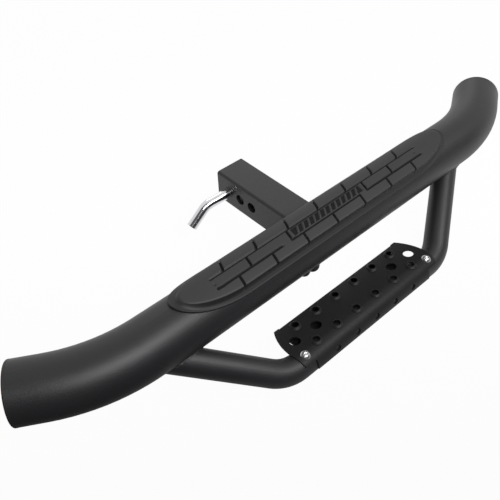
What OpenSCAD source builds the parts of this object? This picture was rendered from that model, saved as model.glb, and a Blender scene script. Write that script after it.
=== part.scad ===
// Hitch receiver step: a swept-back round step tube with a moulded pad, a lower hoop
// that carries a dimpled tread plate, and a square shank with its hitch pin and clip.
// The origin is on the shank's axis at the hitch pin hole. +Y points into the receiver,
// +X runs along the step tube and +Z is up. Millimetres.

/* [Step tube] */
// Outside diameter of the step tube
tube_d = 76.2; // [72:0.1:90]
// Wall of the step tube
tube_wall = 3; // [2:0.1:5]
// Straight middle stretch of the step tube
tube_straight = 588; // [570:1:700]
// Centreline radius of the two end bends
tube_bend_r = 229; // [150:1:300]
// Angle through which each end sweeps back
tube_sweep = 31; // [10:1:45]
// Straight stretch after each end bend
tube_tail = 33; // [28:1:100]

/* [End caps] */
// Thickness of a cap's visible disc
cap_t = 3.5; // [2.5:0.1:6]
// Depth of the sleeve that plugs into the tube
cap_depth = 18; // [10:1:26]
// Wall of that sleeve
cap_wall = 2.4; // [1.5:0.1:4]
// Rounding of the disc's outer edge
cap_round = 2; // [0.5:0.1:2.4]
// Clearance between the sleeve and the tube's bore
cap_gap = 0.4; // [0.1:0.05:0.8]

/* [Step pad] */
// Length of the pad's thin flange
pad_len = 513; // [490:1:560]
// Width of the flange across the tube
pad_w = 57; // [54:0.5:66]
// Thickness of the flange
pad_flange_t = 2.4; // [1.5:0.1:3.5]
// Height of the bead along the flange's edge
pad_bead_h = 0.8; // [0.4:0.1:1.2]
// Width of that bead
pad_bead_w = 2.2; // [1.5:0.1:3]
// Length of the raised zone
raised_len = 483; // [470:1:486]
// Width of the raised zone
raised_w = 44.6; // [42:0.1:48]
// Height of the raised zone's crown above the tube
raised_t = 6.9; // [5.5:0.1:8]
// Radius of the raised zone's gentle crown
crown_r = 150; // [100:5:300]
// Length over which the pad narrows to each tip
pad_taper = 82; // [50:1:100]
// How far the pad leans from the tube's top towards the person, in degrees
pad_lean = 13.5; // [0:0.5:20]

/* [Brick pattern] */
// Width of the middle row of bricks
row_w = 15.8; // [14:0.1:20]
// Length of one brick
brick_len = 54.8; // [48:0.1:58]
// How far the front row's grooves are shifted along the pad
front_shift = -4.4; // [-12:0.1:12]
// How far the back row's grooves are shifted along the pad
back_shift = -11.3; // [-12:0.1:12]
// Length of the long panel in the middle row
panel_len = 144.8; // [125:0.2:150]
// How far that panel is shifted along the pad
panel_shift = -3.8; // [-8:0.1:8]
// Length of the two long grooves
groove_len = 387; // [350:1:400]
// How far the long grooves are shifted along the pad
groove_shift = -6.2; // [-10:0.1:10]
// Length of the two bridges that interrupt the front long groove beside the panel
bridge_len = 18; // [10:1:22]
// Width of a groove
groove_w = 1.8; // [1:0.1:2.5]
// Depth of a groove
groove_depth = 1.8; // [0.8:0.1:2.2]
// Number of slanted grip bars on the panel
bar_count = 9; // [3:1:10]
// Height of a grip bar
bar_h = 0.8; // [0.4:0.1:1.2]

/* [Pad studs] */
// Diameter of a moulded stud's shaft
stud_d = 7.6; // [6:0.1:9]
// Diameter of a stud's retaining head
stud_head_d = 10.4; // [9.8:0.1:12]
// Clearance round a stud's shaft
stud_gap = 0.3; // [0.1:0.05:0.5]
// Distance between studs
stud_pitch = 78; // [60:1:80]

/* [Shank] */
// Outside width and height of the square shank
shank_w = 50.8; // [48:0.1:54]
// Wall of the shank
shank_wall = 6.35; // [4:0.05:8]
// Outer corner radius of the shank
shank_round = 4; // [2:0.5:8]
// Distance from the pin hole to the step tube's axis
reach = 170; // [150:1:260]
// How far the shank's axis lies below the step tube's axis
shank_drop = 21; // [17:0.5:24]
// Distance from the pin hole to the shank's open end
shank_margin = 25.4; // [18:0.1:60]
// Distance between two pin holes
hole_pitch = 25.4; // [22:0.1:30]
// Number of pin holes
hole_count = 3; // [1:1:3]
// Size of the weld seams along the shank
seam = 6; // [4:0.5:8]
// Radius of the larger of two lumps of weld under the tube
lump_r = 10; // [8:0.5:12]
// Distance between those lumps
lump_pitch = 16; // [12:1:18]
// How far the outer lump lies left of the shank's axis
lump_out = 58; // [50:1:80]

/* [Hoop] */
// Outside diameter of the hoop's tube
hoop_d = 38.1; // [34:0.1:40]
// Wall of the hoop's tube
hoop_wall = 2; // [1.5:0.1:3]
// How far the hoop's bar lies in front of the step tube's axis
hoop_out = 92; // [85:1:130]
// How far the hoop's bar lies below the step tube's axis
hoop_down = 99; // [90:1:140]
// Distance between the corners of the bar and the legs
hoop_corners = 317; // [310:1:380]
// Centreline radius of the hoop's bends
hoop_bend_r = 60; // [50:1:61]
// Angle between a leg and the bar
leg_angle = 42; // [38:1:60]
// How far below the step tube's axis the legs point
leg_aim = 21; // [15:1:22]
// Reach of a leg's weld along the step tube
collar_w = 3.5; // [3:0.5:6]
// Height of a leg's weld on the step tube
collar_h = 2; // [1.5:0.1:3]

/* [Tread plate] */
// Sheet thickness of the tread plate
tread_t = 1.8; // [1.5:0.1:2.4]
// Length of the plate over the bar
tread_len = 283; // [250:1:285]
// How far the plate slopes down towards its rear edge, in degrees
tread_tilt = 8.3; // [0:0.1:12]
// Distance along the plate from where it leaves the bar to its rear edge
tread_rear = 53.2; // [50:0.1:60]
// Radius of the plate's curved ends
end_r = 83; // [70:1:100]
// How far behind the bar the curved ends are at their longest
end_middle = 7.4; // [0:0.1:10]
// How much shorter the front wrap and the rear fold are at each end
channel_inset = 23; // [20:0.5:30]
// Depth of the folded pan under the plate
pan_depth = 14.5; // [12:0.5:22]
// Outside radius of the rear folds
fold_r = 2.6; // [2.5:0.1:4]
// How far round the bar the front wrap goes, in degrees from where the flat starts
wrap_angle = 104; // [95:1:140]
// Angle down to which the front wrap keeps the plate's full length
tab_angle = 58; // [45:1:65]
// Gap between the plate and the bar
tread_gap = 0.35; // [0.3:0.05:0.5]
// Distance from the plate's end to the outermost holes
hole_inset = 21.5; // [20:0.5:26]
// Distance from the rear edge to the back row of dimples
back_inset = 13.2; // [12:0.1:16]
// Bore of a dimple
dimple_bore = 10; // [8:0.5:10.5]
// Height of a dimple's rim
dimple_h = 2.6; // [2:0.1:4]
// Diameter of a dimple at the sheet
dimple_base = 18; // [16:0.1:19]
// Diameter of the plain round holes
round_hole = 16; // [14:0.5:18]
// Diameter of the holes in the front wrap
front_hole = 9; // [6:0.5:11]

/* [Tread fasteners] */
// Thread diameter of the tread bolts
bolt_d = 8; // [6:0.5:8]
// Distance from the plate's end to a tread bolt
bolt_inset = 13.7; // [12:0.1:18]
// How far the bolts lean from the bar's top towards the person, in degrees
bolt_lean = 11.5; // [0:0.5:20]
// Diameter of a bolt's domed head
bolt_head_d = 14; // [12:0.1:14.5]
// Height of a bolt's domed head
bolt_head_h = 4.4; // [3.5:0.1:5]
// Hexagon socket across flats
bolt_socket = 5; // [4:0.5:6]
// Length of a bolt under its head
bolt_len = 16; // [14:1:18]
// Outside diameter of a rivet nut
nut_d = 11; // [10:0.1:11.5]
// Length of a rivet nut
nut_len = 14; // [12:0.5:16]

/* [Hitch pin and clip] */
// Diameter of the hitch pin
pin_d = 15.9; // [15:0.1:16.5]
// Clearance round the pin in its holes
pin_gap = 0.4; // [0.2:0.05:0.5]
// Distance from the shank's axis to the pin's tip
pin_tip = 41; // [41:0.5:50]
// Distance from the shank's axis to the corner of the pin's handle
pin_corner = 71; // [65:1:90]
// Length of the handle from that corner
handle_len = 38; // [32:1:60]
// Angle through which the handle bends down
handle_angle = 39; // [30:1:60]
// Centreline radius of the handle's bend
handle_bend_r = 20; // [14:1:24]
// Distance from the pin's tip to its clip hole
clip_inset = 9.5; // [7:0.5:11]
// Wire diameter of the clip
clip_wire = 3.4; // [2.5:0.1:3.6]
// Radius of the clip's ring
clip_ring_r = 8; // [7:0.5:9]

/* [Hidden] */
$fn = 96;
hair = 0.05;
lap = 0.3;

powder_coat = "#3a3a3d";
pad_black = "#454547";
zinc = "#c9ccd2";
stainless = "#b9b9bb";
plastic_black = "#2b2b2d";

tube_r = tube_d / 2;
hoop_r = hoop_d / 2;
pin_r = pin_d / 2;
pin_hole_r = pin_r + pin_gap;

// Height of the shank's top face above the step tube's axis
shank_top = shank_w / 2 - shank_drop;
// Angle up the back of the step tube at which the shank's top face meets it
shank_top_angle = asin(shank_top / tube_r);

// Half the hoop's straight bar, where its bends start
bar_half = hoop_corners / 2 - hoop_bend_r * tan(leg_angle / 2);
// Tilt of the hoop's plane
hoop_tilt = atan2(hoop_down - leg_aim, hoop_out);
// The step tube's axis seen in the hoop's plane: along it and off it
tube_along = hoop_out * cos(hoop_tilt) + hoop_down * sin(hoop_tilt);
tube_off = hoop_down * cos(hoop_tilt) - hoop_out * sin(hoop_tilt);
// How far short of the step tube's axis the legs end, inside its wall
leg_short = 4;
leg_tail = (tube_along - leg_short - hoop_bend_r * (1 - cos(leg_angle))) / sin(leg_angle);

tread_ri = hoop_r + tread_gap;
tread_ro = tread_ri + tread_t;
tread_half = tread_len / 2;
channel_len = tread_len - 2 * channel_inset;
// Distance between neighbouring holes of a row
grid = (tread_len - 2 * hole_inset) / 6;
// Relief between the fold and the plate's flat rear corners
fold_relief = 0.6;
// Places of the hole rows, measured along the plate from where it leaves the bar
back_row = tread_rear - back_inset;
round_row = back_row / 2;
front_row_angle = 78;
bolt_span = tread_len - 2 * bolt_inset;

clip_x = pin_tip - clip_inset;
clip_hole_r = clip_wire / 2 + 0.3;

// Height of the pad's crown above the tube's axis
crown_h = tube_r + raised_t;

// Puts children on the step tube's axis
module at_tube() {
    translate([0, -reach, shank_drop])
        children();
}

// Puts children on the axis of the hoop's bar
module at_bar() {
    translate([0, -reach - hoop_out, shank_drop - hoop_down])
        children();
}

// A rod along X, centred on the origin
module rod(r, length) {
    rotate([0, 90, 0])
        cylinder(r = r, h = length, center = true);
}

// A round wire that runs from the origin along +X through lines and arcs in the XY
// plane. Each step is [length] or [radius, angle], and a positive angle turns left.
// A line after an arc is a hair thinner than the arcs and reaches a little way into them.
module wire_path(r, steps, i = 0) {
    if (i < len(steps)) {
        s = steps[i];
        if (len(s) == 1) {
            back = i > 0 ? lap : 0;
            ahead = i > 0 && i < len(steps) - 1 ? lap : 0;
            translate([-back, 0, 0])
                rotate([0, 90, 0])
                    cylinder(r = i > 0 ? r - hair : r, h = back + s[0] + ahead);
            translate([s[0], 0, 0])
                wire_path(r, steps, i + 1);
        } else {
            side = s[1] > 0 ? 1 : -1;
            rotate([s[1] > 0 ? 0 : 180, 0, 0])
                translate([0, s[0], 0])
                    rotate([0, 0, -90])
                        rotate_extrude(angle = abs(s[1]))
                            translate([s[0], 0])
                                circle(r);
            translate([0, side * s[0], 0])
                rotate([0, 0, s[1]])
                    translate([0, -side * s[0], 0])
                        wire_path(r, steps, i + 1);
        }
    }
}

// A rod along X whose two ends bend towards +Y and run on for a tail
module bent_rod(r, straight, bend_r, angle, tail) {
    for (side = [0, 180])
        rotate([0, side, 0])
            wire_path(r, [[straight / 2], [bend_r, angle], [tail]]);
}

// The solid step tube of any radius, lengthened past its ends by more
module step_rod(r, more = 0) {
    bent_rod(r, tube_straight, tube_bend_r, tube_sweep, tube_tail + more);
}

// Puts children at the step tube's right end, with +Z pointing out of it
module at_tube_end() {
    at_tube()
        translate([tube_straight / 2, tube_bend_r, 0])
            rotate([0, 0, tube_sweep])
                translate([tube_tail, -tube_bend_r, 0])
                    rotate([0, 90, 0])
                        children();
}

// Places of the pad's studs along the tube
stud_places = [for (i = [-2.5:1:2.5]) i * stud_pitch];

module step_tube() {
    color(powder_coat)
        at_tube()
            difference() {
                step_rod(tube_r);
                step_rod(tube_r - tube_wall, 1);
                rotate([pad_lean, 0, 0])
                    for (x = stud_places)
                        translate([x, 0, 0])
                            cylinder(d = stud_d + 2 * stud_gap, h = tube_r + 1);
            }
}

// A push-in cap: a disc with a rounded edge and a ribbed sleeve
module end_cap() {
    bore_r = tube_r - tube_wall;
    sleeve_r = bore_r - cap_gap;
    color(plastic_black)
        rotate_extrude() {
            intersection() {
                union() {
                    square([tube_r - cap_round, cap_t]);
                    square([tube_r, cap_t - cap_round]);
                    translate([tube_r - cap_round, cap_t - cap_round])
                        circle(cap_round, $fn = 48);
                }
                square([tube_r, cap_t]);
            }
            translate([sleeve_r - cap_wall, -cap_depth])
                square([cap_wall, cap_depth + 1]);
            for (z = [0.35, 0.65])
                translate([sleeve_r - cap_wall, -cap_depth * z])
                    square([cap_wall + cap_gap - 0.1, 1.5]);
        }
}

module end_cap_right() {
    at_tube_end()
        end_cap();
}

module end_cap_left() {
    mirror([1, 0, 0])
        end_cap_right();
}

// Half an oval's edge at fraction u of its taper, from full width to the tip
function taper_point(length, width, u) =
    [length / 2 - pad_taper * (1 - u), width / 2 * pow(1 - u * u, 0.6)];

// Outline of the pad: straight sides that narrow to a soft point at each end
module pad_outline(length, width) {
    steps = 14;
    right_top = [for (i = [0:steps]) taper_point(length, width, sin(90 * i / steps))];
    right_low = [for (i = [steps - 1:-1:0]) [right_top[i][0], -right_top[i][1]]];
    right = concat(right_top, right_low);
    left = [for (p = right) [-p[0], -p[1]]];
    polygon(concat(right, left));
}

// One layer of the pad, from the tube's surface up to a height above it
module pad_layer(length, width, height) {
    intersection() {
        rod(tube_r + height, length + 2);
        linear_extrude(tube_r + height + 1)
            pad_outline(length, width);
    }
}

// Everything under the raised zone's crown, or under a surface lower than it
module under_crown(lower = 0) {
    translate([0, 0, crown_h - crown_r])
        rod(crown_r - lower, pad_len + 10);
}

// The raised zone, solid down to the tube's axis
module raised_zone() {
    intersection() {
        under_crown();
        linear_extrude(crown_h + 1)
            pad_outline(raised_len, raised_w);
    }
}

// A groove of the plan along X between two places
module long_groove(from, to, y) {
    translate([from, y - groove_w / 2])
        square([to - from, groove_w]);
}

// A groove of the plan across the pad between two places
module cross_groove(x, from, to) {
    translate([x - groove_w / 2, from])
        square([groove_w, to - from]);
}

// Plan of the grooves: a back, a middle and a front row of bricks
module groove_plan() {
    row = row_w / 2;
    edge = raised_w / 2 + 3;
    left = groove_shift - groove_len / 2;
    right = groove_shift + groove_len / 2;
    panel_left = panel_shift - panel_len / 2;
    panel_right = panel_shift + panel_len / 2;
    long_groove(left, right, row);
    long_groove(left, panel_left - bridge_len, -row);
    long_groove(panel_left, panel_right - bridge_len, -row);
    long_groove(panel_right, right, -row);
    for (i = [-3:3]) {
        cross_groove(i * brick_len + front_shift, -edge, -row);
        cross_groove(i * brick_len + back_shift, row, edge);
    }
    cross_groove(panel_left, -row, row);
    cross_groove(panel_right, -row, row);
    cross_groove(panel_left - 1.25 * brick_len, -row, row);
    cross_groove(panel_right + brick_len, -row, row);
}

module brick_grooves() {
    difference() {
        translate([0, 0, tube_r])
            linear_extrude(raised_t + 2)
                groove_plan();
        under_crown(groove_depth);
    }
}

// Slanted grip bars on the middle row's long panel
module grip_bars() {
    bar_w = 3.2;
    pitch = (panel_len - 18) / bar_count;
    reach_y = row_w / 2 - 2.6;
    slant = 3;
    intersection() {
        under_crown(-bar_h);
        linear_extrude(crown_h + 2)
            for (i = [0:bar_count - 1])
                translate([panel_shift + (i - (bar_count - 1) / 2) * pitch, 0])
                    polygon([[-bar_w / 2 - slant, -reach_y], [bar_w / 2 - slant, -reach_y],
                        [bar_w / 2 + slant, reach_y], [-bar_w / 2 + slant, reach_y]]);
    }
}

// A moulded stud that snaps into the tube's wall
module pad_stud() {
    head_top = tube_r - tube_wall - 0.8;
    head_h = 3.5;
    cylinder(d = stud_d, h = tube_r + 1);
    translate([0, 0, head_top - head_h])
        cylinder(d1 = stud_d - 1.5, d2 = stud_head_d, h = head_h);
}

module step_pad() {
    color(pad_black)
        at_tube()
            rotate([pad_lean, 0, 0]) {
                difference() {
                    union() {
                        pad_layer(pad_len, pad_w, pad_flange_t);
                        difference() {
                            pad_layer(pad_len, pad_w, pad_flange_t + pad_bead_h);
                            linear_extrude(crown_h + 2)
                                pad_outline(pad_len - 3 * pad_bead_w, pad_w - 2 * pad_bead_w);
                        }
                        raised_zone();
                        grip_bars();
                    }
                    rod(tube_r, pad_len + 10);
                    brick_grooves();
                }
                difference() {
                    for (x = stud_places)
                        translate([x, 0, 0])
                            pad_stud();
                    rod(tube_r - tube_wall - 4.6, pad_len);
                }
            }
}

// A square with rounded corners
module round_square(w, r) {
    square([w - 2 * r, w], center = true);
    square([w, w - 2 * r], center = true);
    for (x = [-1, 1], y = [-1, 1])
        translate([x, y] * (w / 2 - r))
            circle(r, $fn = 48);
}

module shank() {
    length = reach + shank_margin;
    color(powder_coat)
        difference() {
            translate([0, shank_margin, 0])
                rotate([90, 0, 0])
                    difference() {
                        linear_extrude(length)
                            round_square(shank_w, shank_round);
                        translate([0, 0, -1])
                            linear_extrude(length + 2)
                                round_square(shank_w - 2 * shank_wall, 1);
                    }
            at_tube()
                rod(tube_r, shank_w + 2);
            for (i = [0:hole_count - 1])
                translate([0, -i * hole_pitch, 0])
                    rod(pin_hole_r, shank_w + 2);
        }
}

// A section in the plane across the step tube, swept along it
module along_tube(length) {
    rotate([90, 0, 90])
        linear_extrude(length, center = true)
            children();
}

module shank_weld() {
    // Where the shank's bottom wall ends, under the step tube's axis
    toe = -shank_w / 2 - shank_drop;
    back = tube_r * cos(shank_top_angle);
    color(powder_coat)
        at_tube() {
            for (side = [0, 1])
                mirror([side, 0, 0])
                    rotate([0, 90, 0])
                        rotate_extrude(angle = 90 + shank_top_angle)
                            polygon([[tube_r, shank_w / 2], [tube_r + seam, shank_w / 2],
                                [tube_r, shank_w / 2 + seam]]);
            along_tube(shank_w - 2 * shank_round)
                difference() {
                    polygon([[back - seam, shank_top], [back + seam, shank_top],
                        [back - 2, shank_top + seam + 1], [back - seam, shank_top + seam]]);
                    circle(tube_r);
                }
            along_tube(shank_w - 2 * shank_round)
                difference() {
                    polygon([[0, toe], [0, -tube_r + 2], [-seam - 5, -tube_r + 2]]);
                    circle(tube_r);
                }
        }
}

// Two lumps of weld on the step tube's lower front, left of the shank; the left one is
// the lesser
module weld_lumps() {
    down = 48;
    color(powder_coat)
        at_tube()
            difference() {
                for (i = [0, 1])
                    translate([-lump_out + i * lump_pitch, 0, 0])
                        rotate([90 + down, 0, 0])
                            translate([0, 0, tube_r - 4.6 + i * 0.5])
                                sphere(lump_r - 1 + i);
                rod(tube_r, 2 * (lump_out + lump_r));
            }
}

// The hoop as a solid rod of any radius
module hoop_rod(r) {
    rotate([hoop_tilt, 0, 0])
        bent_rod(r, 2 * bar_half, hoop_bend_r, leg_angle, leg_tail);
}

// Puts children at one tread bolt, with +Z pointing out along the bolt
module at_tread_bolt(side) {
    at_bar()
        translate([side * bolt_span / 2, 0, 0])
            rotate([bolt_lean, 0, 0])
                children();
}

module hoop() {
    color(powder_coat)
        difference() {
            at_bar()
                difference() {
                    hoop_rod(hoop_r);
                    hoop_rod(hoop_r - hoop_wall);
                }
            at_tube()
                step_rod(tube_r);
            for (side = [-1, 1])
                at_tread_bolt(side)
                    cylinder(d = nut_d + 0.2, h = hoop_d);
        }
}

// The right leg of the hoop as a straight rod that runs into the step tube
module leg_rod(r) {
    start = hoop_bend_r * sin(leg_angle);
    rise = hoop_bend_r * (1 - cos(leg_angle));
    at_bar()
        rotate([hoop_tilt, 0, 0])
            translate([bar_half + start, rise, 0])
                rotate([0, 0, leg_angle])
                    rotate([0, 90, 0])
                        cylinder(r = r, h = leg_tail + 4);
}

// A weld collar where the right leg meets the step tube, lower towards its edge
module hoop_weld_right() {
    color(powder_coat)
        difference() {
            for (step = [[1, 0.45], [0.45, 1]])
                intersection() {
                    leg_rod(hoop_r + collar_w * step[0]);
                    at_tube()
                        step_rod(tube_r + collar_h * step[1]);
                }
            leg_rod(hoop_r);
            at_tube()
                step_rod(tube_r);
        }
}

module hoop_weld_left() {
    mirror([1, 0, 0])
        hoop_weld_right();
}

// A sector of a ring, from the top round towards -X
module ring_sector(ri, ro, from, to) {
    steps = 24;
    far = ro * 1.5;
    intersection() {
        difference() {
            circle(ro);
            circle(ri);
        }
        polygon(concat([[0, 0]], [for (i = [0:steps])
            let (a = from + (to - from) * i / steps) [-far * sin(a), far * cos(a)]]));
    }
}

// Plan of the plate with its curved ends
module tread_plan() {
    intersection() {
        translate([-tread_half, -tread_ro - 5])
            square([tread_len, tread_ro + 5 + tread_rear]);
        union() {
            square([tread_len - 2 * end_r, 4 * end_r], center = true);
            for (side = [-1, 1])
                translate([side * (tread_half - end_r), end_middle])
                    circle(end_r);
        }
    }
}

// The flat top and the upper part of the front wrap, cut to the plan
module tread_top() {
    difference() {
        intersection() {
            along_tube(tread_len + 2) {
                translate([0, tread_ri])
                    square([tread_rear, tread_t]);
                ring_sector(tread_ri, tread_ro, 0, tab_angle);
            }
            translate([0, 0, -1])
                linear_extrude(tread_ro + 2)
                    tread_plan();
        }
        translate([-channel_len / 2 - fold_relief, tread_rear - fold_r, 0])
            cube([channel_len + 2 * fold_relief, fold_r + 1, tread_ro + 1]);
    }
}

// The rear fold and the pan that returns to the back of the bar
module tread_pan() {
    fold_ri = fold_r - tread_t;
    top = tread_ro - fold_r;
    low = tread_ro - pan_depth + fold_r;
    along_tube(channel_len) {
        translate([tread_rear - fold_r, top])
            intersection() {
                difference() {
                    circle(fold_r);
                    circle(fold_ri);
                }
                square(fold_r + 1);
            }
        translate([tread_rear - tread_t, low])
            square([tread_t, top - low]);
        translate([tread_rear - fold_r, low])
            intersection() {
                difference() {
                    circle(fold_r);
                    circle(fold_ri);
                }
                translate([0, -fold_r - 1])
                    square(fold_r + 1);
            }
        difference() {
            translate([0, low - fold_r])
                square([tread_rear - fold_r, tread_t]);
            circle(tread_ri);
        }
    }
}

// Places of the dimples on the flat: two rows of six
dimple_places = [for (y = [0, back_row], i = [-2.5:1:2.5]) [i * grid, y]];

// The metal of one pressed dimple, standing on the flat, with a soft crest
module dimple_rim() {
    crest = dimple_bore / 2 + 1;
    rotate_extrude()
        polygon([[0, -0.5], [dimple_base / 2, -0.5], [dimple_base / 2, 0],
            [crest + 1.6, dimple_h * 0.62], [crest + 0.7, dimple_h * 0.92],
            [crest, dimple_h], [0, dimple_h]]);
}

// The hollow under one pressed dimple, with its bore
module dimple_hollow() {
    rotate_extrude()
        polygon([[0, -tread_t - 1], [dimple_base / 2 - 0.9, -tread_t - 1],
            [dimple_base / 2 - 0.9, -tread_t], [dimple_bore / 2, dimple_h - 1.3],
            [dimple_bore / 2, dimple_h + 1], [0, dimple_h + 1]]);
}

module tread_plate() {
    color(powder_coat)
        at_bar()
            difference() {
                rotate([-tread_tilt, 0, 0])
                    difference() {
                        union() {
                            tread_top();
                            along_tube(channel_len)
                                ring_sector(tread_ri, tread_ro, tab_angle - 1, wrap_angle);
                            tread_pan();
                            for (p = dimple_places)
                                translate([p[0], p[1], tread_ro])
                                    dimple_rim();
                        }
                        for (p = dimple_places)
                            translate([p[0], p[1], tread_ro])
                                dimple_hollow();
                        for (x = [-3, -2, 2, 3])
                            translate([x * grid, round_row, hoop_r / 2 + 2])
                                cylinder(d = round_hole, h = tread_ro);
                        for (i = [-2:2])
                            translate([i * grid, 0, 0])
                                rotate([front_row_angle, 0, 0])
                                    translate([0, 0, hoop_r])
                                        cylinder(d = front_hole, h = 10);
                    }
                for (side = [-1, 1])
                    translate([side * bolt_span / 2, 0, 0])
                        rotate([bolt_lean, 0, 0])
                            translate([0, 0, hoop_r - 2])
                                cylinder(d = bolt_d + 1, h = 10);
            }
}

// A button head bolt: spherical head, hexagon socket, plain shaft
module tread_bolt() {
    dome_r = (pow(bolt_head_d / 2, 2) + pow(bolt_head_h, 2)) / (2 * bolt_head_h);
    color(stainless)
        translate([0, 0, tread_ro]) {
            difference() {
                intersection() {
                    translate([0, 0, bolt_head_h - dome_r])
                        sphere(dome_r);
                    cylinder(d = bolt_head_d, h = bolt_head_h - 0.25);
                }
                translate([0, 0, bolt_head_h - 2.8])
                    cylinder(d = bolt_socket / cos(30), h = 4, $fn = 6);
            }
            translate([0, 0, -bolt_len])
                cylinder(d = bolt_d - 0.2, h = bolt_len + 0.5);
        }
}

// A rivet nut set in the bar's wall, with its upset bulge inside
module rivet_nut() {
    top = sqrt(pow(hoop_r, 2) - pow(nut_d / 2, 2));
    bulge_r = nut_d / 2 + 1.6;
    bulge_top = sqrt(pow(hoop_r - hoop_wall, 2) - pow(bulge_r, 2)) - 0.1;
    color(zinc)
        difference() {
            union() {
                translate([0, 0, top - nut_len])
                    cylinder(d = nut_d, h = nut_len);
                translate([0, 0, bulge_top - 3])
                    cylinder(r = bulge_r, h = 3);
            }
            translate([0, 0, top - nut_len - 1])
                cylinder(d = bolt_d, h = nut_len + 2);
        }
}

module tread_bolt_left() {
    at_tread_bolt(-1)
        tread_bolt();
}

module tread_bolt_right() {
    at_tread_bolt(1)
        tread_bolt();
}

module rivet_nut_left() {
    at_tread_bolt(-1)
        rivet_nut();
}

module rivet_nut_right() {
    at_tread_bolt(1)
        rivet_nut();
}

module hitch_pin() {
    tip = 3;
    run_in = handle_bend_r * tan(handle_angle / 2);
    color(zinc)
        difference() {
            union() {
                translate([pin_tip - tip, 0, 0])
                    rotate([90, 0, 180])
                        wire_path(pin_r, [[pin_tip - tip + pin_corner - run_in],
                            [handle_bend_r, -handle_angle], [handle_len - run_in]]);
                translate([pin_tip - tip, 0, 0])
                    rotate([0, 90, 0])
                        cylinder(r1 = pin_r, r2 = pin_r - 2, h = tip);
            }
            translate([clip_x, 0, 0])
                rotate([90, 0, 0])
                    cylinder(r = clip_hole_r, h = pin_d + 2, center = true);
        }
}

// The spring clip lies across the pin: a straight leg through it, a ring, and a leg that
// dips, follows the pin's underside and flares out
module hitch_clip() {
    wire_r = clip_wire / 2;
    hug_r = pin_r + wire_r + 0.1;
    // Half the angle over which the bent leg follows the pin
    hug = 50;
    // Turn of the ring beyond a half circle
    ring_turn = 40;
    // The two reverse bends on either side of the pin
    ease_r = 4;
    link = 0.5;
    free_end = pin_r + 12;
    dip = clip_ring_r + (clip_ring_r + ease_r) * cos(ring_turn)
        - (hug_r + ease_r) * cos(hug) + link * sin(hug);
    slope = dip / sin(ring_turn);
    ring_at = (hug_r + ease_r) * sin(hug) + link * cos(hug)
        + (ease_r + clip_ring_r) * sin(ring_turn) + slope * cos(ring_turn);
    color(stainless)
        translate([clip_x, free_end, 0])
            rotate([-90, 0, -90])
                wire_path(wire_r, [[free_end + ring_at], [clip_ring_r, 180 + ring_turn],
                    [slope], [ease_r, -ring_turn - hug], [link], [hug_r, 2 * hug],
                    [link], [ease_r, -hug - 25], [3]]);
}

step_tube();
end_cap_left();
end_cap_right();
step_pad();
shank();
shank_weld();
weld_lumps();
hoop();
hoop_weld_left();
hoop_weld_right();
tread_plate();
tread_bolt_left();
tread_bolt_right();
rivet_nut_left();
rivet_nut_right();
hitch_pin();
hitch_clip();
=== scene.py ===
import math

import bpy
import numpy as np
from mathutils import Matrix, Vector


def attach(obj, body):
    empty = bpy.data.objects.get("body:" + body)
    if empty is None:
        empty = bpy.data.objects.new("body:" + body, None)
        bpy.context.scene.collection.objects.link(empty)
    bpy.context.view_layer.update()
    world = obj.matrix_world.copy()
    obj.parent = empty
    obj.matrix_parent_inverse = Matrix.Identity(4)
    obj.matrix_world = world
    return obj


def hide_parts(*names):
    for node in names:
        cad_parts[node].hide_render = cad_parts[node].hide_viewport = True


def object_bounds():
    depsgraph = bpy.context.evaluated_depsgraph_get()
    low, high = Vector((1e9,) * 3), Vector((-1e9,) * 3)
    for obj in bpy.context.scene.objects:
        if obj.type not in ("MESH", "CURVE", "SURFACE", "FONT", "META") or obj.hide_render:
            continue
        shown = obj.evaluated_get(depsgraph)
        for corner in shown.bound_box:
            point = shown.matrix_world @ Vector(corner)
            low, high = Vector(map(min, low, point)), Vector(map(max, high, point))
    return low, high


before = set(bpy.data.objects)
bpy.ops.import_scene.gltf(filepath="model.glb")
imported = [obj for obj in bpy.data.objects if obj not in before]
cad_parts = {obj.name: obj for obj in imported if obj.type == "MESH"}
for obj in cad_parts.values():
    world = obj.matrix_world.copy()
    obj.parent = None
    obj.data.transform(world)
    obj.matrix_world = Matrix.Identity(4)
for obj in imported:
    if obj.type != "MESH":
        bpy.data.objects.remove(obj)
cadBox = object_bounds()
print("frame loaded:", len(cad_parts), "nodes")

scene = bpy.context.scene
scene.view_settings.view_transform = "Standard"

# the photograph's viewpoint, in metres and radians
view = {
    "place": (-0.50566, -0.60640, 0.62537),
    "azimuth": -0.738,
    "elevation": 0.783,
    "roll": -0.018,
    "lens": 46.62,
    "shift": (-0.0295, 0.0158),
    "sensor": 36,    # millimetres, as the lens
    "clip": (0.01, 50),
}


def makeCamera():
    a, e, roll = view["azimuth"], view["elevation"], view["roll"]
    back = Vector((math.sin(a) * math.cos(e), -math.cos(a) * math.cos(e), math.sin(e)))
    side = Vector((math.cos(a), math.sin(a), 0))
    up = back.cross(side)
    right = side * math.cos(roll) + up * math.sin(roll)
    top = up * math.cos(roll) - side * math.sin(roll)
    data = bpy.data.cameras.new("camera")
    data.lens, data.sensor_width = view["lens"], view["sensor"]
    data.shift_x, data.shift_y = view["shift"]
    data.clip_start, data.clip_end = view["clip"]
    camera = bpy.data.objects.new("camera", data)
    turn = Matrix((right, top, back)).transposed().to_4x4()
    camera.matrix_world = Matrix.Translation(Vector(view["place"])) @ turn
    scene.collection.objects.link(camera)
    scene.camera = camera


makeCamera()

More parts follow.
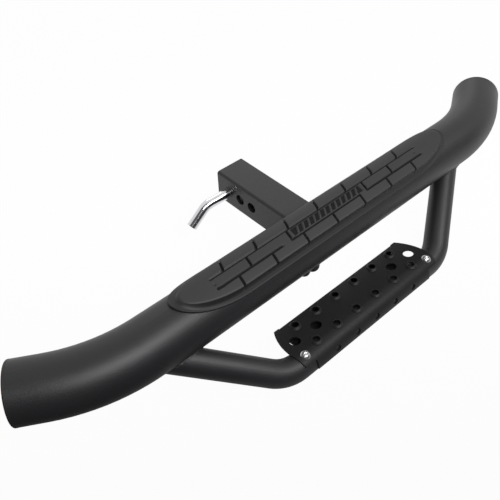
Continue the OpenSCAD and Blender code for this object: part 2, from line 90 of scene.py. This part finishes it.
# room, floor and lamps
studio = {
    "floorGap": 0.0005,    # metres under the object's lowest point
    "floorReach": 6.0,    # half the floor's side
    "roomLevel": 0.42,    # what the room gives the object from all round
    "backdropWay": (0.45, 0.89, 0.0),    # the white backdrop stands on this side
    "backdropEdge": (-0.30, 0.15),    # where it begins and is full, as a share of that direction
    "mirrored": (0.10, 0.95),    # what reflections see: the dark front of the room, the backdrop
    "floorShow": 0.97,    # how much of the white the camera sees over the floor's own shading
    "floorBack": (0.8, 0.8, 0.8, 1),    # its colour at the back and at the front
    "floorFront": (0.06, 0.06, 0.06, 1),
    "floorWay": (0.6, 0.8, 0.0),    # the floor is white on this side and dark at the front
    "floorEdge": (-0.42, 0.0),    # where it begins to be white and is full, in metres that way
    "floorMirrored": 0.85,    # how much of its white reflections see, at the back
}
lamps = {
    # name: place, aim, size in metres, watts
    "frontSoftbox": ((0.02, -1.55, 1.75), (0, -0.2, 0), (2.7, 0.7), 55),
    "backSoftbox": ((1.30, 1.60, 1.30), (0, -0.05, 0), (1.6, 1.0), 5),
}


def linkNodes(tree, pairs):
    for source, target in pairs:
        tree.links.new(source, target)


def mathNode(tree, operation, first, second):
    node = tree.nodes.new("ShaderNodeMath")
    node.operation = operation
    for slot, value in enumerate((first, second)):
        if isinstance(value, (int, float)):
            node.inputs[slot].default_value = value
        else:
            tree.links.new(value, node.inputs[slot])
    return node.outputs[0]


def fadeAlong(tree, vector, way, edge, levels=(0.0, 1.0)):
    # goes from one level to the other along a direction
    side = tree.nodes.new("ShaderNodeVectorMath")
    side.operation = "DOT_PRODUCT"
    side.inputs[1].default_value = way
    fade = tree.nodes.new("ShaderNodeMapRange")
    for label, value in zip(("From Min", "From Max", "To Min", "To Max"), (*edge, *levels)):
        fade.inputs[label].default_value = value
    linkNodes(tree, [(vector, side.inputs[0]), (side.outputs["Value"], fade.inputs["Value"])])
    return fade


def mirrorRays(tree, path):
    # 1 for the rays that leave metal, gloss or glass
    glossy, through = path.outputs["Is Glossy Ray"], path.outputs["Is Transmission Ray"]
    return mathNode(tree, "MAXIMUM", glossy, through)


def colourMix(tree, second, first=None):
    mix = tree.nodes.new("ShaderNodeMix")
    mix.data_type = "RGBA"
    if first:
        mix.inputs[6].default_value = first
    mix.inputs[7].default_value = second
    return mix


def makeRoom():
    world = bpy.data.worlds.new("room")
    scene.world = world
    world.use_nodes = True
    tree = world.node_tree
    tree.nodes.clear()
    out = tree.nodes.new("ShaderNodeOutputWorld")
    mix = tree.nodes.new("ShaderNodeMixShader")
    room = tree.nodes.new("ShaderNodeBackground")
    white = tree.nodes.new("ShaderNodeBackground")
    path = tree.nodes.new("ShaderNodeLightPath")
    way = tree.nodes.new("ShaderNodeTexCoord").outputs["Generated"]
    fade = fadeAlong(tree, way, studio["backdropWay"], studio["backdropEdge"], studio["mirrored"])
    fade.interpolation_type = "SMOOTHSTEP"
    white.inputs["Color"].default_value = (1, 1, 1, 1)
    white.inputs["Strength"].default_value = 1.0
    level = tree.nodes.new("ShaderNodeMix")
    level.inputs["A"].default_value = studio["roomLevel"]
    linkNodes(tree, [
        (mirrorRays(tree, path), level.inputs["Factor"]),
        (fade.outputs[0], level.inputs["B"]),
        (level.outputs["Result"], room.inputs["Strength"]),
        (path.outputs["Is Camera Ray"], mix.inputs[0]),
        (room.outputs[0], mix.inputs[1]),
        (white.outputs[0], mix.inputs[2]),
        (mix.outputs[0], out.inputs[0]),
    ])


def makeLamps():
    for name, (place, aim, size, watts) in lamps.items():
        data = bpy.data.lights.new(name, "AREA")
        data.shape = "RECTANGLE"
        data.size, data.size_y = size
        data.energy = watts
        lamp = bpy.data.objects.new(name, data)
        lamp.location = place
        direction = Vector(aim) - Vector(place)
        lamp.rotation_mode = "QUATERNION"
        lamp.rotation_quaternion = direction.to_track_quat("-Z", "Y")
        scene.collection.objects.link(lamp)


def makeFloor():
    low = cadBox[0].z - studio["floorGap"]
    reach = studio["floorReach"]
    mesh = bpy.data.meshes.new("floor")
    corners = [(x * reach, y * reach, low) for x, y in ((-1, -1), (1, -1), (1, 1), (-1, 1))]
    mesh.from_pydata(corners, [], [(0, 1, 2, 3)])
    floor = bpy.data.objects.new("floor", mesh)
    scene.collection.objects.link(floor)
    material = bpy.data.materials.new("floorWhite")
    material.use_nodes = True
    tree = material.node_tree
    tree.nodes.clear()
    out = tree.nodes.new("ShaderNodeOutputMaterial")
    matt = tree.nodes.new("ShaderNodeBsdfDiffuse")
    spot = tree.nodes.new("ShaderNodeTexCoord").outputs["Object"]
    fade = fadeAlong(tree, spot, studio["floorWay"], studio["floorEdge"])
    tint = colourMix(tree, studio["floorBack"], studio["floorFront"])
    glow = tree.nodes.new("ShaderNodeEmission")
    glow.inputs["Strength"].default_value = 1.0
    path = tree.nodes.new("ShaderNodeLightPath")
    mix = tree.nodes.new("ShaderNodeMixShader")
    seen = mathNode(tree, "MULTIPLY", path.outputs["Is Camera Ray"], studio["floorShow"])
    share = mathNode(tree, "MULTIPLY", fade.outputs[0], studio["floorMirrored"])
    glossed = mathNode(tree, "MULTIPLY", mirrorRays(tree, path), share)
    linkNodes(tree, [
        (fade.outputs[0], tint.inputs[0]),
        (tint.outputs[2], matt.inputs["Color"]),
        (mathNode(tree, "ADD", seen, glossed), mix.inputs[0]),
        (matt.outputs[0], mix.inputs[1]),
        (glow.outputs[0], mix.inputs[2]),
        (mix.outputs[0], out.inputs[0]),
    ])
    mesh.materials.append(material)


makeRoom()
makeLamps()
makeFloor()
print("camera, lamps and floor made")


# shader groups
def newGroup(name, ins, outs):
    group = bpy.data.node_groups.new(name, "ShaderNodeTree")
    for label, kind, value in ins:
        socket = group.interface.new_socket(label, in_out="INPUT", socket_type=kind)
        socket.default_value = value
    for label, kind in outs:
        group.interface.new_socket(label, in_out="OUTPUT", socket_type=kind)
    return group, group.nodes.new("NodeGroupInput"), group.nodes.new("NodeGroupOutput")


def noiseNode(tree, vector, scale, detail, roughness):
    node = tree.nodes.new("ShaderNodeTexNoise")
    node.inputs["Detail"].default_value = detail
    node.inputs["Roughness"].default_value = roughness
    linkNodes(tree, [(vector, node.inputs["Vector"]), (scale, node.inputs["Scale"])])
    return node.outputs["Fac"]


def makeGrainGroup():
    # fine orange-peel grain with slow patches
    group, gin, gout = newGroup(
        "coatGrain",
        [("Grains", "NodeSocketFloat", 900.0), ("Patches", "NodeSocketFloat", 9.0),
         ("Grain Mix", "NodeSocketFloat", 0.6), ("Patch Mix", "NodeSocketFloat", 0.2)],
        [("Height", "NodeSocketFloat"), ("Mask", "NodeSocketFloat")])
    coords = group.nodes.new("ShaderNodeTexCoord")
    fine = noiseNode(group, coords.outputs["Object"], gin.outputs["Grains"], 3.0, 0.6)
    patch = noiseNode(group, coords.outputs["Object"], gin.outputs["Patches"], 3.0, 0.55)
    centredFine = mathNode(group, "SUBTRACT", fine, 0.5)
    centredPatch = mathNode(group, "SUBTRACT", patch, 0.5)
    grainShare = mathNode(group, "MULTIPLY", centredFine, gin.outputs["Grain Mix"])
    patchShare = mathNode(group, "MULTIPLY", centredPatch, gin.outputs["Patch Mix"])
    both = mathNode(group, "ADD", grainShare, patchShare)
    linkNodes(group, [(fine, gout.inputs["Height"]),
                      (mathNode(group, "ADD", both, 0.5), gout.inputs["Mask"])])
    return group


grainGroup = makeGrainGroup()

# colours from dark to light, roughness, grains and patches per metre and how much each shows,
# strength and depth of the grain's relief
finishes = {
    "powderCoat": {
        "dark": (0.007, 0.007, 0.008), "light": (0.015, 0.015, 0.017),
        "rough": (0.38, 0.52), "metal": 0.0,
        "grains": 900, "patches": 9, "grainMix": 0.8, "patchMix": 0.5,
        "bump": 0.35, "depth": 0.0006, "specular": 0.5,
    },
    "treadCoat": {
        "dark": (0.008, 0.008, 0.009), "light": (0.018, 0.018, 0.019),
        "rough": (0.36, 0.50), "metal": 0.0,
        "grains": 1300, "patches": 12, "grainMix": 0.7, "patchMix": 0.5,
        "bump": 0.25, "depth": 0.0004, "specular": 0.18,
    },
    "weldCoat": {
        "dark": (0.007, 0.007, 0.008), "light": (0.017, 0.017, 0.019),
        "rough": (0.34, 0.48), "metal": 0.0,
        "grains": 320, "patches": 30, "grainMix": 0.8, "patchMix": 0.4,
        "bump": 0.7, "depth": 0.0022, "specular": 0.5,
    },
    "padPlastic": {
        "dark": (0.012, 0.012, 0.0125), "light": (0.024, 0.024, 0.025),
        "rough": (0.50, 0.64), "metal": 0.0,
        "grains": 1500, "patches": 14, "grainMix": 0.5, "patchMix": 0.6,
        "bump": 0.2, "depth": 0.0003, "specular": 0.5,
    },
    "capPlastic": {
        "dark": (0.008, 0.008, 0.008), "light": (0.016, 0.016, 0.016),
        "rough": (0.45, 0.6), "metal": 0.0,
        "grains": 1400, "patches": 14, "grainMix": 0.6, "patchMix": 0.4,
        "bump": 0.25, "depth": 0.0003, "specular": 0.5,
    },
    "zincPlate": {
        "dark": (0.80, 0.81, 0.83), "light": (0.92, 0.92, 0.94),
        "rough": (0.13, 0.19), "metal": 1.0,
        "grains": 60, "patches": 25, "grainMix": 0.2, "patchMix": 0.4,
        "bump": 0.01, "depth": 0.0001, "specular": 0.5,
    },
    "stainless": {
        "dark": (0.50, 0.50, 0.50), "light": (0.72, 0.72, 0.71),
        "rough": (0.22, 0.36), "metal": 1.0,
        "grains": 700, "patches": 60, "grainMix": 0.4, "patchMix": 0.6,
        "bump": 0.05, "depth": 0.0002, "specular": 0.5,
    },
}


def makeFinish(name):
    look = finishes[name]
    material = bpy.data.materials.new(name)
    material.use_nodes = True
    tree = material.node_tree
    shader = tree.nodes["Principled BSDF"]
    grain = tree.nodes.new("ShaderNodeGroup")
    grain.node_tree = grainGroup
    for label, key in (("Grains", "grains"), ("Patches", "patches"),
                       ("Grain Mix", "grainMix"), ("Patch Mix", "patchMix")):
        grain.inputs[label].default_value = look[key]
    colour = colourMix(tree, (*look["light"], 1), (*look["dark"], 1))
    rough = tree.nodes.new("ShaderNodeMapRange")
    rough.inputs["To Min"].default_value, rough.inputs["To Max"].default_value = look["rough"]
    bump = tree.nodes.new("ShaderNodeBump")
    bump.inputs["Strength"].default_value = look["bump"]
    bump.inputs["Distance"].default_value = look["depth"]
    shader.inputs["Metallic"].default_value = look["metal"]
    shader.inputs["Specular IOR Level"].default_value = look["specular"]
    linkNodes(tree, [
        (grain.outputs["Mask"], colour.inputs[0]),
        (colour.outputs[2], shader.inputs["Base Color"]),
        (grain.outputs["Mask"], rough.inputs["Value"]),
        (rough.outputs[0], shader.inputs["Roughness"]),
        (grain.outputs["Height"], bump.inputs["Height"]),
        (bump.outputs[0], shader.inputs["Normal"]),
    ])
    return material


# painted shade: the colour that the grooves, the flange and the pad's underside are darkened
# towards
hollowColour = (0.002, 0.002, 0.002, 1)


def paintShade(material):
    # painted shade: the base colour is darkened and the surface made duller by the mesh's share of
    # painted shade, in the grooves, on the flange and under the pad
    tree = material.node_tree
    shader = tree.nodes["Principled BSDF"]
    hollow = tree.nodes.new("ShaderNodeAttribute")
    hollow.attribute_name = "hollow"
    colour = colourMix(tree, hollowColour)
    plain = shader.inputs["Base Color"].links[0].from_socket
    rough = shader.inputs["Roughness"].links[0].from_socket
    linkNodes(tree, [
        (hollow.outputs["Fac"], colour.inputs[0]),
        (plain, colour.inputs[6]),
        (colour.outputs[2], shader.inputs["Base Color"]),
        (mathNode(tree, "MAXIMUM", rough, hollow.outputs["Fac"]), shader.inputs["Roughness"]),
    ])


materials = {name: makeFinish(name) for name in finishes}
# the pad's plastic gets the painted shade
paintShade(materials["padPlastic"])
nodeFinish = {
    "step_tube": "powderCoat", "shank": "powderCoat", "hoop": "powderCoat",
    "shank_weld": "weldCoat", "weld_lumps": "weldCoat",
    "hoop_weld_left": "weldCoat", "hoop_weld_right": "weldCoat",
    "tread_plate": "treadCoat", "step_pad": "padPlastic",
    "end_cap_left": "capPlastic", "end_cap_right": "capPlastic",
    "tread_bolt_left": "stainless", "tread_bolt_right": "stainless",
    "rivet_nut_left": "zincPlate", "rivet_nut_right": "zincPlate",
    "hitch_pin": "zincPlate", "hitch_clip": "stainless",
}
for nodeName, finishName in nodeFinish.items():
    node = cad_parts[nodeName]
    node.data.materials.clear()
    node.data.materials.append(materials[finishName])
print("finishes on", len(nodeFinish), "nodes")

# the moulded pad: millimetres along and above the step tube, degrees round it from its top
pad = {
    "axis": (-170.0, 21.0),    # the step tube's axis, y and z
    "seat": 38.12,    # radius of its underside
    "lean": 13.5,    # how far the bricks' crown leans to the front
    "crown": (45.0, 150.0),    # height over the axis and radius of the bricks' crown
    # outlines of the flange and of the raised bricks: radius, half length, angle of the tips,
    # and for front and back the angle of the straight edge and the length of its rounded ends
    "flange": {"radius": 40.5, "reach": 257.0, "tip": 2.0,
               "front": (-60.5, 100.0), "back": (56.0, 88.0)},
    "raised": {"radius": 44.0, "reach": 245.5, "tip": -3.4,
               "front": (-42.3, 80.0), "back": (22.3, 42.0)},
    "rim": (0.6, 1.5, 1.3),    # height, place and half width of the bead inside the flange's edge
    "edge": (1.1, 1.1),    # drop and width of the flange's rounded edge
    "shoulder": (1.4, 3.0),    # the same of the bricks' outer edge
    "fall": (7.9, 26.0, 3.2, 1.2),    # the back row bends down: from, to, how much, last share
    "wall": 7.0,    # width over which the raised zone rises in a hollow curve
    "groove": (3.2, 1.55, 0.5),    # depth, half width and width of its sides
    "ease": (0.3, 0.8),    # rounding of the bricks' edges beside a groove
    "shade": (0.3, 1.2),    # depth of a cut at which the painted shade begins, and over which it grows
    "flangeShade": 0.6,    # how much painted shade the flange has, as a share of the grooves' painted shade
    "row": 7.9,    # half width of the middle row
    "rowEnd": 60.0,    # past the outer rows' edges
    "slant": {"back": 0.40, "middle": 0.16, "front": 0.16},
    "pitch": 54.8,    # length of a brick in the outer rows
    "bricksEachSide": 3,
    "backShift": -11.3,
    "frontShift": -4.4,
    "middleCuts": (-144.7, -76.2, 68.6, 123.4),
    "backGroove": ((-199.7, 187.3),),
    "frontGroove": ((-199.7, -94.2), (-76.2, 50.6), (68.6, 187.3)),
    # slanted grip bars, and the half length and depth of the shallow field that they stand in
    "bars": {"count": 12, "pitch": 10.2, "middle": -3.8, "half": 2.2, "reach": 5.3,
             "slant": 0.57, "height": 0.3, "side": 0.7, "field": 66.0, "margin": 0.8, "sink": 1.5},
    "dots": ((179.0, 0.0), (-200.0, -1.0)),    # two shallow round marks in the middle row
    "dot": (1.0, 2.2, 0.8),    # depth, radius and width of the side
    "steps": (1.8, 0.5, 0.8),    # columns: plain, beside a cross groove, along the grip bars
    "nearCut": 3.4,    # how far the fine columns reach beside a groove
    "nearBars": 4.0,
    "closest": 0.3,    # between two columns, but not within the last of the tip
    "fineTip": 1.0,
    "tipColumns": (0.02, 12.0, 14),    # first, last and number of columns at a tip
    "lines": (16, 18, 18, 20, 22),    # rows of faces from the front edge to the back edge
    "firstGroove": -23.6,    # angle of the front long groove
    "spread": (0.35, 0.4, 0.55),    # least shares of the width beside the middle line
    "underLines": 14,
}


def smooth(value):
    value = np.clip(value, 0.0, 1.0)
    return value * value * (3 - 2 * value)


def padEdge(x, zone, side):
    # angle of an outline at x: straight in the middle, elliptical ends
    limit, taper = zone[side]
    near = np.clip((zone["reach"] - np.abs(x)) / taper, 0.0, 1.0)
    return zone["tip"] + (limit - zone["tip"]) * np.sqrt(1 - (1 - near) ** 2)


def padInset(x, angle, zone):
    # millimetres inside an outline, negative outside it
    back = angle > zone["tip"]
    limit = np.where(back, zone["back"][0], zone["front"][0])
    taper = np.where(back, zone["back"][1], zone["front"][1])
    half = np.radians(np.abs(limit - zone["tip"])) * zone["radius"]
    along = np.maximum(0.0, (np.abs(x) - (zone["reach"] - taper)) / taper)
    across = np.abs(angle - zone["tip"]) / np.abs(limit - zone["tip"])
    out = np.maximum(np.hypot(along, across), 1e-3)
    return (1 - out) * out / np.hypot(along / taper, np.maximum(across, 1e-4) / half)


def brickStarts():
    side = pad["bricksEachSide"]
    return [i * pad["pitch"] for i in range(-side, side + 1)]


def padGrooves(x, v):
    # distance to the nearest groove of the brick pattern
    row, rowEnd, slant = pad["row"], pad["rowEnd"], pad["slant"]
    far = np.full(x.shape, 99.0)

    def longCut(spans, place):
        nonlocal far
        for start, end in spans:
            gap = np.maximum(np.maximum(start - x, x - end), 0.0)
            far = np.minimum(far, np.hypot(gap, v - place))

    def crossCut(place, low, high, middle, lean):
        nonlocal far
        gap = np.maximum(np.maximum(low - v, v - high), 0.0)
        far = np.minimum(far, np.hypot(x - place - lean * (v - middle), gap))

    longCut(pad["backGroove"], row)
    longCut(pad["frontGroove"], -row)
    for start in brickStarts():
        crossCut(start + pad["backShift"], row, rowEnd, 2 * row, slant["back"])
        crossCut(start + pad["frontShift"], -rowEnd, -row, -2 * row, slant["front"])
    for place in pad["middleCuts"]:
        crossCut(place, -row, row, 0.0, slant["middle"])
    return far


def padBars(x, v):
    # height of the slanted grip bars, and the depth of the shallow field that they stand in
    bars = pad["bars"]
    total = np.zeros(x.shape)
    fieldAlong = bars["field"] - np.abs(x - bars["middle"])
    fieldAcross = bars["reach"] + bars["margin"] - np.abs(v)
    field = smooth(np.minimum(fieldAlong, fieldAcross) / bars["side"])
    for i in range(bars["count"]):
        middle = bars["middle"] + (i - (bars["count"] - 1) / 2) * bars["pitch"]
        side = bars["half"] - np.abs(x - middle - bars["slant"] * v)
        end = bars["reach"] - np.abs(v)
        total = np.maximum(total, smooth(np.minimum(side, end) / bars["side"]))
    return total * bars["height"], field * (1 - total) * bars["sink"]


def padRadius(x, angle):
    flange, (crown, crownRadius) = pad["flange"], pad["crown"]
    lean = np.radians(angle + pad["lean"])
    bow = np.maximum(np.sin(lean) ** 2, 1e-5) / (2 * crownRadius)
    top = (np.sqrt(np.cos(lean) ** 2 + 4 * bow * crown) - np.cos(lean)) / (2 * bow)
    v = top * np.sin(lean)
    inFlange, inRaised = padInset(x, angle, flange), padInset(x, angle, pad["raised"])
    rimHigh, rimPlace, rimHalf = pad["rim"]
    drop, width = pad["edge"]
    low = flange["radius"] + rimHigh * smooth(1 - np.abs(inFlange - rimPlace) / rimHalf)
    low -= drop * (1 - np.sqrt(1 - (1 - np.clip(inFlange / width, 0, 1)) ** 2))
    start, end, fall, last = pad["fall"]
    top = top - fall * np.clip((v - start) / (end - start), 0, last) ** 2
    drop, width = pad["shoulder"]
    top = top - drop * (1 - np.sqrt(1 - (1 - np.clip(inRaised / width, 0, 1)) ** 2))
    bars, sink = padBars(x, v)
    top = top + bars
    far = padGrooves(x, v)
    deep, half, side = pad["groove"]
    soft, reach = pad["ease"]
    cut = deep * smooth((half - far) / side + 0.5)
    cut = cut + soft * np.clip(1 - (far - half) / reach, 0, 1) ** 2
    dotDeep, dotRadius, dotSide = pad["dot"]
    for markX, markV in pad["dots"]:
        inside = dotRadius - np.hypot(x - markX, v - markV)
        cut = np.maximum(cut, dotDeep * smooth(inside / dotSide))
    cut = np.maximum(cut, sink)
    rise = np.clip((inRaised + pad["wall"]) / pad["wall"], 0, 1) ** 3
    # painted shade: a share from 0 on the bricks to 1 in a groove, for the colour, and flangeShade
    # of it on the flange
    begins, over = pad["shade"]
    hollow = np.clip((cut - begins) / over, 0, 1) * rise + pad["flangeShade"] * (1 - rise)
    return low + (np.maximum(top - cut, low) - low) * rise, hollow


def padColumns():
    plain, fine, barred = pad["steps"]
    reach, near, bars = pad["flange"]["reach"], pad["nearCut"], pad["bars"]
    firstTip, lastTip, tipCount = pad["tipColumns"]
    places = [np.arange(-reach + lastTip, reach - lastTip, plain)]
    cuts = list(pad["middleCuts"]) + [mark for mark, across in pad["dots"]]
    for start in brickStarts():
        cuts += [start + pad["backShift"], start + pad["frontShift"]]
    for cut in cuts:
        places.append(np.arange(cut - near, cut + near, fine))
    span = bars["count"] * bars["pitch"] / 2 + pad["nearBars"]
    places.append(np.arange(bars["middle"] - span, bars["middle"] + span, barred))
    tip = reach - firstTip - (lastTip - firstTip) * np.linspace(0, 1, tipCount) ** 2
    places += [tip, -tip]
    everything = np.sort(np.concatenate(places))
    kept = [everything[0]]
    for place in everything[1:]:
        if place - kept[-1] > pad["closest"] or place > reach - pad["fineTip"]:
            kept.append(place)
    return np.array(kept)


def padLines(x, front, back):
    # angles of the mesh's long lines at each column, close together at the outlines and grooves
    raised, span = pad["raised"], back - front
    inside, outside, groove = pad["spread"]
    middle = np.maximum(raised["tip"], front + inside * span)
    middle = np.minimum(middle, back - inside * span)
    low = np.minimum(padEdge(x, raised, "front"), middle + outside * (front - middle))
    high = np.maximum(padEdge(x, raised, "back"), middle + outside * (back - middle))
    first = np.maximum(pad["firstGroove"], middle + groove * (low - middle))
    knots = [front, low, first, middle, high, back]
    lines = [front]
    for start, end, count in zip(knots, knots[1:], pad["lines"]):
        for k in range(1, count + 1):
            share = (1 - math.cos(math.pi * k / count)) / 2
            lines.append(start + (end - start) * share)
    return np.array(lines).T


def padPoints(x, turn, reach):
    # metres, from millimetres along the tube and degrees round it
    axisY, axisZ = pad["axis"]
    turn = np.radians(turn)
    along = np.repeat(x[:, None], turn.shape[1], axis=1)
    spots = [along, axisY + reach * np.sin(turn), axisZ + reach * np.cos(turn)]
    return np.stack(spots, -1).reshape(-1, 3) / 1000


def padFaces(columns, across, below):
    # the top, the underside, and the strips and end faces that join them
    start = columns * across
    faces = []
    for c in range(columns - 1):
        for j in range(across - 1):
            a = c * across + j
            faces.append((a, a + across, a + across + 1, a + 1))
        for j in range(below - 1):
            a = start + c * below + j
            faces.append((a, a + 1, a + below + 1, a + below))
        a, b = c * across, start + c * below
        faces.append((b, b + below, a + across, a))
        a, b = a + across - 1, b + below - 1
        faces.append((a, a + across, b + below, b))
    for c in (0, columns - 1):
        ring = [c * across + j for j in range(across)]
        ring += [start + c * below + j for j in reversed(range(below))]
        faces.append(ring if c == 0 else ring[::-1])
    return faces


def makePad():
    x = padColumns()
    front, back = (padEdge(x, pad["flange"], side) for side in ("front", "back"))
    angle = padLines(x, front, back)
    along = np.repeat(x[:, None], angle.shape[1], axis=1)
    radius, hollow = padRadius(along, angle)
    share = np.linspace(0, 1, pad["underLines"])
    under = front[:, None] + (back - front)[:, None] * share[None, :]
    verts = np.concatenate([padPoints(x, angle, radius), padPoints(x, under, pad["seat"])])
    faces = padFaces(len(x), angle.shape[1], under.shape[1])
    mesh = bpy.data.meshes.new("mouldedPad")
    mesh.from_pydata(verts.tolist(), [], faces)
    mesh.polygons.foreach_set("use_smooth", [True] * len(mesh.polygons))
    mesh.materials.append(materials["padPlastic"])
    mesh.update()
    # painted shade for each point: the share from padRadius on top, full on the underside
    shade = mesh.attributes.new("hollow", "FLOAT", "POINT")
    values = np.concatenate([hollow.reshape(-1), np.ones(under.size)])
    shade.data.foreach_set("value", values.astype(np.float32))
    piece = bpy.data.objects.new("mouldedPad", mesh)
    scene.collection.objects.link(piece)
    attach(piece, "frame")
    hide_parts("step_pad")
    return len(faces)


print("moulded pad made:", makePad(), "faces")
